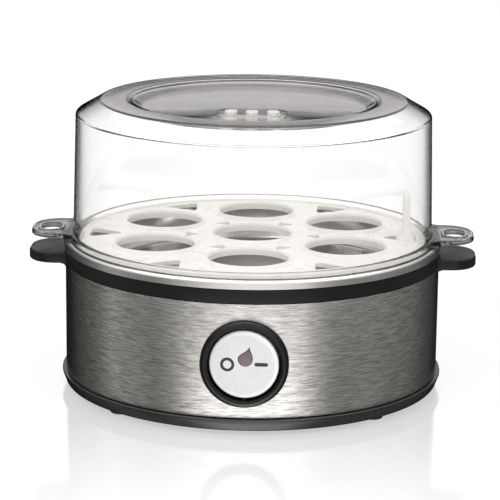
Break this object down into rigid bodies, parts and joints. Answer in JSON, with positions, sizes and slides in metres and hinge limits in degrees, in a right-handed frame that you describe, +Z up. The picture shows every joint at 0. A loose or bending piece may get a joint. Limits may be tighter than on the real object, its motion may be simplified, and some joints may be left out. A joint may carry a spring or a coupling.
{
  "type": "egg cooker",
  "caption": "Round electric egg cooker: steel-wrapped drum with side handles and a rocker switch, heated water pan, lift-out egg tray and clear vented lid.",
  "frame": {"origin": "on the table under the centre of the drum, level with the bottoms of the feet", "axes": "+Z up, -Y towards the switch on the front, +X towards the right-hand handle seen from the front"},
  "size_m": [0.203, 0.176, 0.1312],
  "materials": {
    "black_plastic": "satin moulded plastic",
    "gloss_black": "polished",
    "white_plastic": "smooth white food-grade plastic",
    "clear_plastic": "transparent, polished",
    "brushed_steel": "brushed round the drum",
    "polished_steel": "smooth stainless sheet",
    "zinc_steel": "zinc plated",
    "cast_aluminium": "cast",
    "brass": "plain",
    "rubber": "matt",
    "silicone": "matt, translucent grey",
    "ceramic": "unglazed steatite",
    "lamp_lens": "tinted, clear",
    "lamp_glass": "clear",
    "red_wire": "silicone sleeve",
    "blue_wire": "silicone sleeve",
    "brown_wire": "silicone sleeve"
  },
  "bodies": {
    "base": {"base_shell": "black_plastic", "body_shell": "black_plastic", "switch_body": "black_plastic", "switch_bezel": "gloss_black", "steel_band": "brushed_steel", "heating_pan": "polished_steel", "base_screw_1": "zinc_steel", "base_screw_2": "zinc_steel", "base_screw_3": "zinc_steel", "base_screw_4": "zinc_steel", "pan_nut_1": "zinc_steel", "pan_nut_2": "zinc_steel", "pan_nut_3": "zinc_steel", "heating_element": "zinc_steel", "clamp_plate": "zinc_steel", "clamp_nut": "zinc_steel", "thermostat_bracket": "zinc_steel", "thermostat_screw_1": "zinc_steel", "thermostat_screw_2": "zinc_steel", "thermal_fuse": "zinc_steel", "fuse_clip": "zinc_steel", "fuse_screw": "zinc_steel", "heat_spreader": "cast_aluminium", "terminal_common": "brass", "terminal_load": "brass", "terminal_lamp": "brass", "foot_1": "rubber", "foot_2": "rubber", "foot_3": "rubber", "foot_4": "rubber", "cord_gland": "rubber", "pan_gasket": "silicone", "thermostat": "ceramic", "terminal_block": "ceramic", "neon_lamp": "lamp_glass", "wire_switch_thermostat": "red_wire", "wire_thermostat_element": "red_wire", "wire_element_fuse": "blue_wire", "wire_fuse_block": "blue_wire", "wire_block_lamp": "blue_wire", "wire_block_switch": "brown_wire"},
    "tray": {"egg_tray": "white_plastic"},
    "lid": {"lid": "clear_plastic"},
    "rocker": {"rocker_button": "white_plastic", "indicator_lens": "lamp_lens", "switch_plunger": "brass", "plunger_spring": "zinc_steel"},
    "contact": {"contact_arm": "brass"}
  },
  "joints": [
    {"name": "tray_lift", "type": "slide", "parent": "base", "child": "tray", "axis": [0, 0, 1], "range_m": [0, 0.06]},
    {"name": "lid_lift", "type": "slide", "parent": "tray", "child": "lid", "axis": [0, 0, 1], "range_m": [0, 0.09]},
    {"name": "rocker_turn", "type": "hinge", "parent": "base", "child": "rocker", "pos_m": [0, -0.084, 0.032], "axis": [0, 0, 1], "range_deg": [0, 8]},
    {"name": "contact_tilt", "type": "hinge", "parent": "base", "child": "contact", "pos_m": [0, -0.0679, 0.032], "axis": [0, 0, 1], "range_deg": [-10, 0]}
  ],
  "couplings": [
    {"joint": "contact_tilt", "follows": "rocker_turn", "ratio": -1.25}
  ]
}
